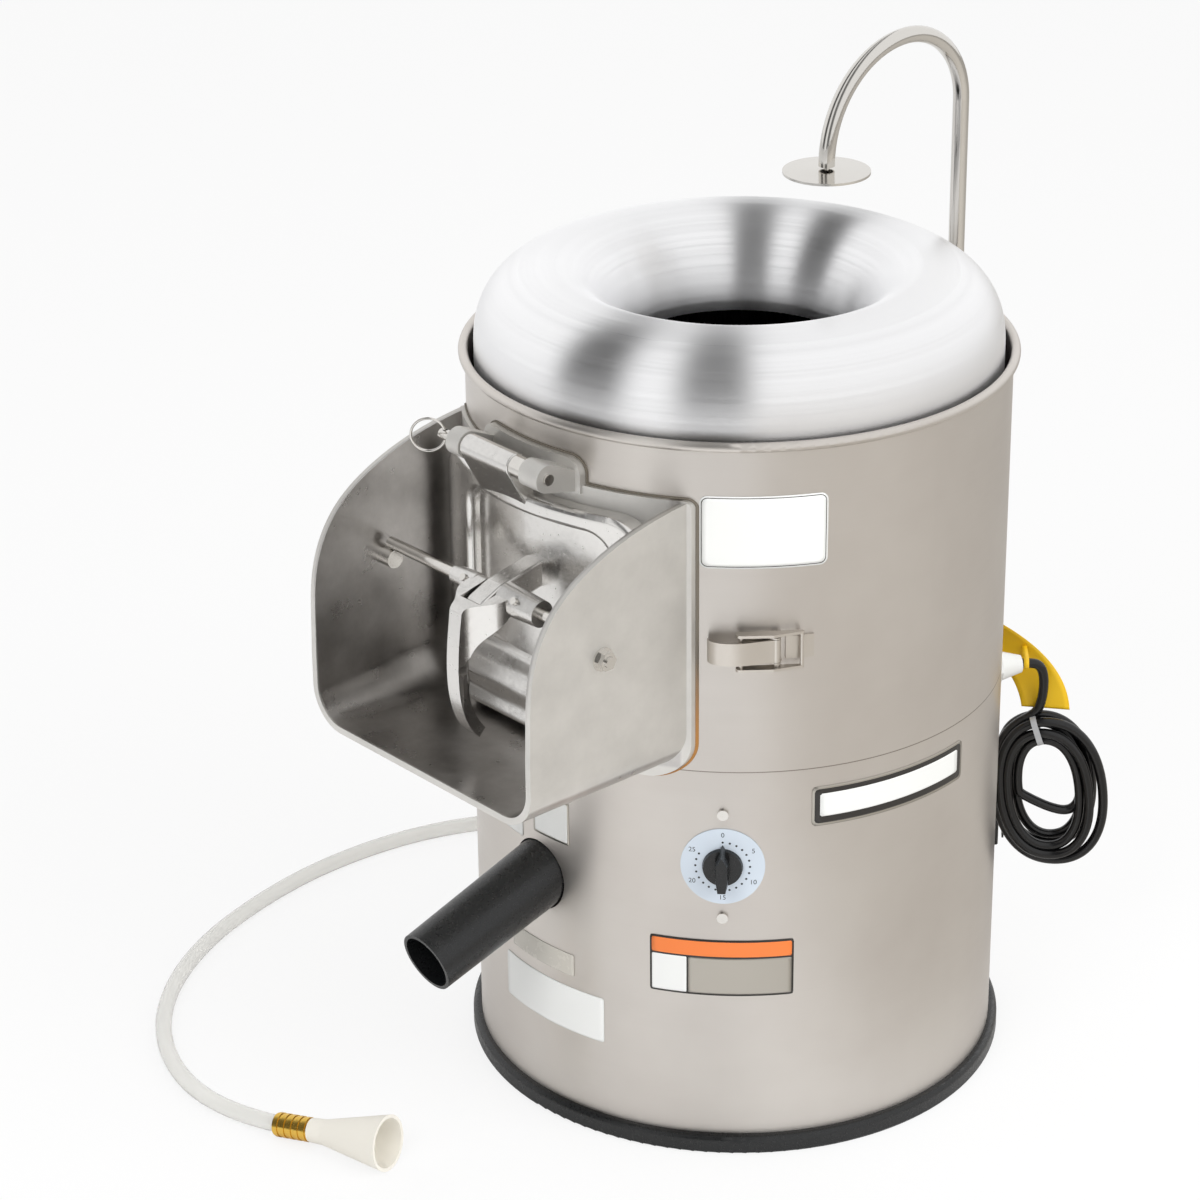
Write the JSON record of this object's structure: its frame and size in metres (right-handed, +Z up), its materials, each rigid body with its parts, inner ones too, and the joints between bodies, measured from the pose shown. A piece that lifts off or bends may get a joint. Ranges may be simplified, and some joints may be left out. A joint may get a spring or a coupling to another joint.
{
  "type": "electric potato peeler",
  "caption": "Bench-top electric potato peeler: round stainless drum with an abrasive disc, cast discharge chute and hinged door, open feed ring, water spray arm and drain.",
  "frame": {"origin": "on the drum's axis, at the bench under the rubber base ring", "axes": "+Z up along the drum axis, -Y out of the discharge chute, +X to the right of someone facing the chute"},
  "size_m": [0.6005, 0.6487, 0.757],
  "materials": {
    "rubber": "satin",
    "steel": "brushed",
    "polished": "polished",
    "cast": "satin",
    "spun": "spun",
    "grit": "gritty",
    "iron": "as cast",
    "black_plastic": "gloss",
    "dial": "satin",
    "white_plastic": "satin",
    "sealant": "matte",
    "liner": "ribbed",
    "motor_paint": "satin",
    "brass": "satin",
    "hose": "gloss",
    "white_rubber": "satin",
    "cord": "gloss",
    "tag": "paper",
    "tie": "satin"
  },
  "bodies": {
    "machine": {"base_ring": "rubber", "base_plate": "steel", "base_shell": "steel", "hopper_floor": "cast", "drain_tube": "rubber", "drain_clamp": "polished", "bearing_housing": "iron", "lower_bearing": "polished", "upper_bearing": "polished", "shaft_seal": "rubber", "drive_belt": "rubber", "motor_body": "motor_paint", "motor_bracket": "steel", "motor_bolts": "polished", "start_capacitor": "black_plastic", "timer_body": "white_plastic", "timer_dial": "dial", "timer_screws": "polished", "hopper_shell": "steel", "discharge_chute": "cast", "chute_sealant": "sealant", "hinge_spacer": "polished", "keeper_bolts": "polished", "keeper_nuts": "polished", "side_latch_base": "polished", "side_latch_pin": "polished", "side_latch_keeper": "polished", "hopper_liner": "liner", "pipe_clips": "polished", "water_hose": "hose", "hose_ferrule": "brass", "faucet_nozzle": "white_rubber", "cord_gland": "white_plastic", "power_cord": "cord", "cord_coil": "cord", "cord_tail": "cord", "power_plug": "cord", "cord_tie": "tie", "cord_tag": "tag"},
    "door": {"door_panel": "cast"},
    "latch": {"latch_bar": "polished", "latch_handle": "cast", "latch_set_screws": "polished"},
    "hinge_pin": {"hinge_pin": "polished"},
    "pull_ring": {"pull_ring": "polished"},
    "disc": {"peeling_disc": "cast", "disc_abrasive": "grit", "disc_nut": "polished", "spindle": "polished", "driven_pulley": "iron"},
    "rotor": {"motor_shaft": "polished", "motor_pulley": "iron"},
    "timer_control": {"timer_knob": "black_plastic", "timer_shaft": "polished"},
    "side_lever": {"side_latch_lever": "polished"},
    "side_bail": {"side_latch_bail": "polished"},
    "feed_ring": {"feed_ring": "spun"},
    "spray_arm": {"spray_pipe": "polished", "spray_disc": "polished"}
  },
  "joints": [
    {"name": "door_hinge", "type": "hinge", "parent": "machine", "child": "door", "pos_m": [0, -0.222, 0.528], "axis": [-1, 0, 0], "range_deg": [0, 60]},
    {"name": "latch_turn", "type": "hinge", "parent": "door", "child": "latch", "pos_m": [0, -0.2383, 0.4361], "axis": [-1, 0, 0], "range_deg": [0, 80]},
    {"name": "hinge_pin_slide", "type": "slide", "parent": "machine", "child": "hinge_pin", "axis": [-1, 0, 0], "range_m": [0, 0.095]},
    {"name": "pull_ring_swing", "type": "hinge", "parent": "hinge_pin", "child": "pull_ring", "pos_m": [-0.062, -0.222, 0.528], "axis": [0, 0, 1], "range_deg": [-40, 40]},
    {"name": "disc_spin", "type": "hinge", "parent": "machine", "child": "disc", "pos_m": [0, 0, 0.3], "axis": [0, 0, 1], "continuous": true},
    {"name": "motor_spin", "type": "hinge", "parent": "machine", "child": "rotor", "pos_m": [0, 0.108, 0.037], "axis": [0, 0, 1], "continuous": true},
    {"name": "timer_turn", "type": "hinge", "parent": "machine", "child": "timer_control", "pos_m": [0.1366, -0.14195, 0.2365], "axis": [-0.6934, 0.7206, 0], "range_deg": [0, 300]},
    {"name": "side_lever_swing", "type": "hinge", "parent": "machine", "child": "side_lever", "pos_m": [0.16433, -0.11852, 0.408], "axis": [0, 0, 1], "range_deg": [0, 100]},
    {"name": "side_bail_swing", "type": "hinge", "parent": "side_lever", "child": "side_bail", "pos_m": [0.15066, -0.13903, 0.408], "axis": [0, 0, 1], "range_deg": [-100, 0]},
    {"name": "feed_ring_lift", "type": "slide", "parent": "machine", "child": "feed_ring", "axis": [0, 0, 1], "range_m": [0, 0.04]},
    {"name": "spray_arm_swing", "type": "hinge", "parent": "machine", "child": "spray_arm", "pos_m": [0, 0.225, 0.4], "axis": [0, 0, 1], "range_deg": [-45, 45]}
  ],
  "couplings": [
    {"joint": "motor_spin", "follows": "disc_spin", "ratio": 2.5926},
    {"joint": "side_bail_swing", "follows": "side_lever_swing", "ratio": -1}
  ]
}
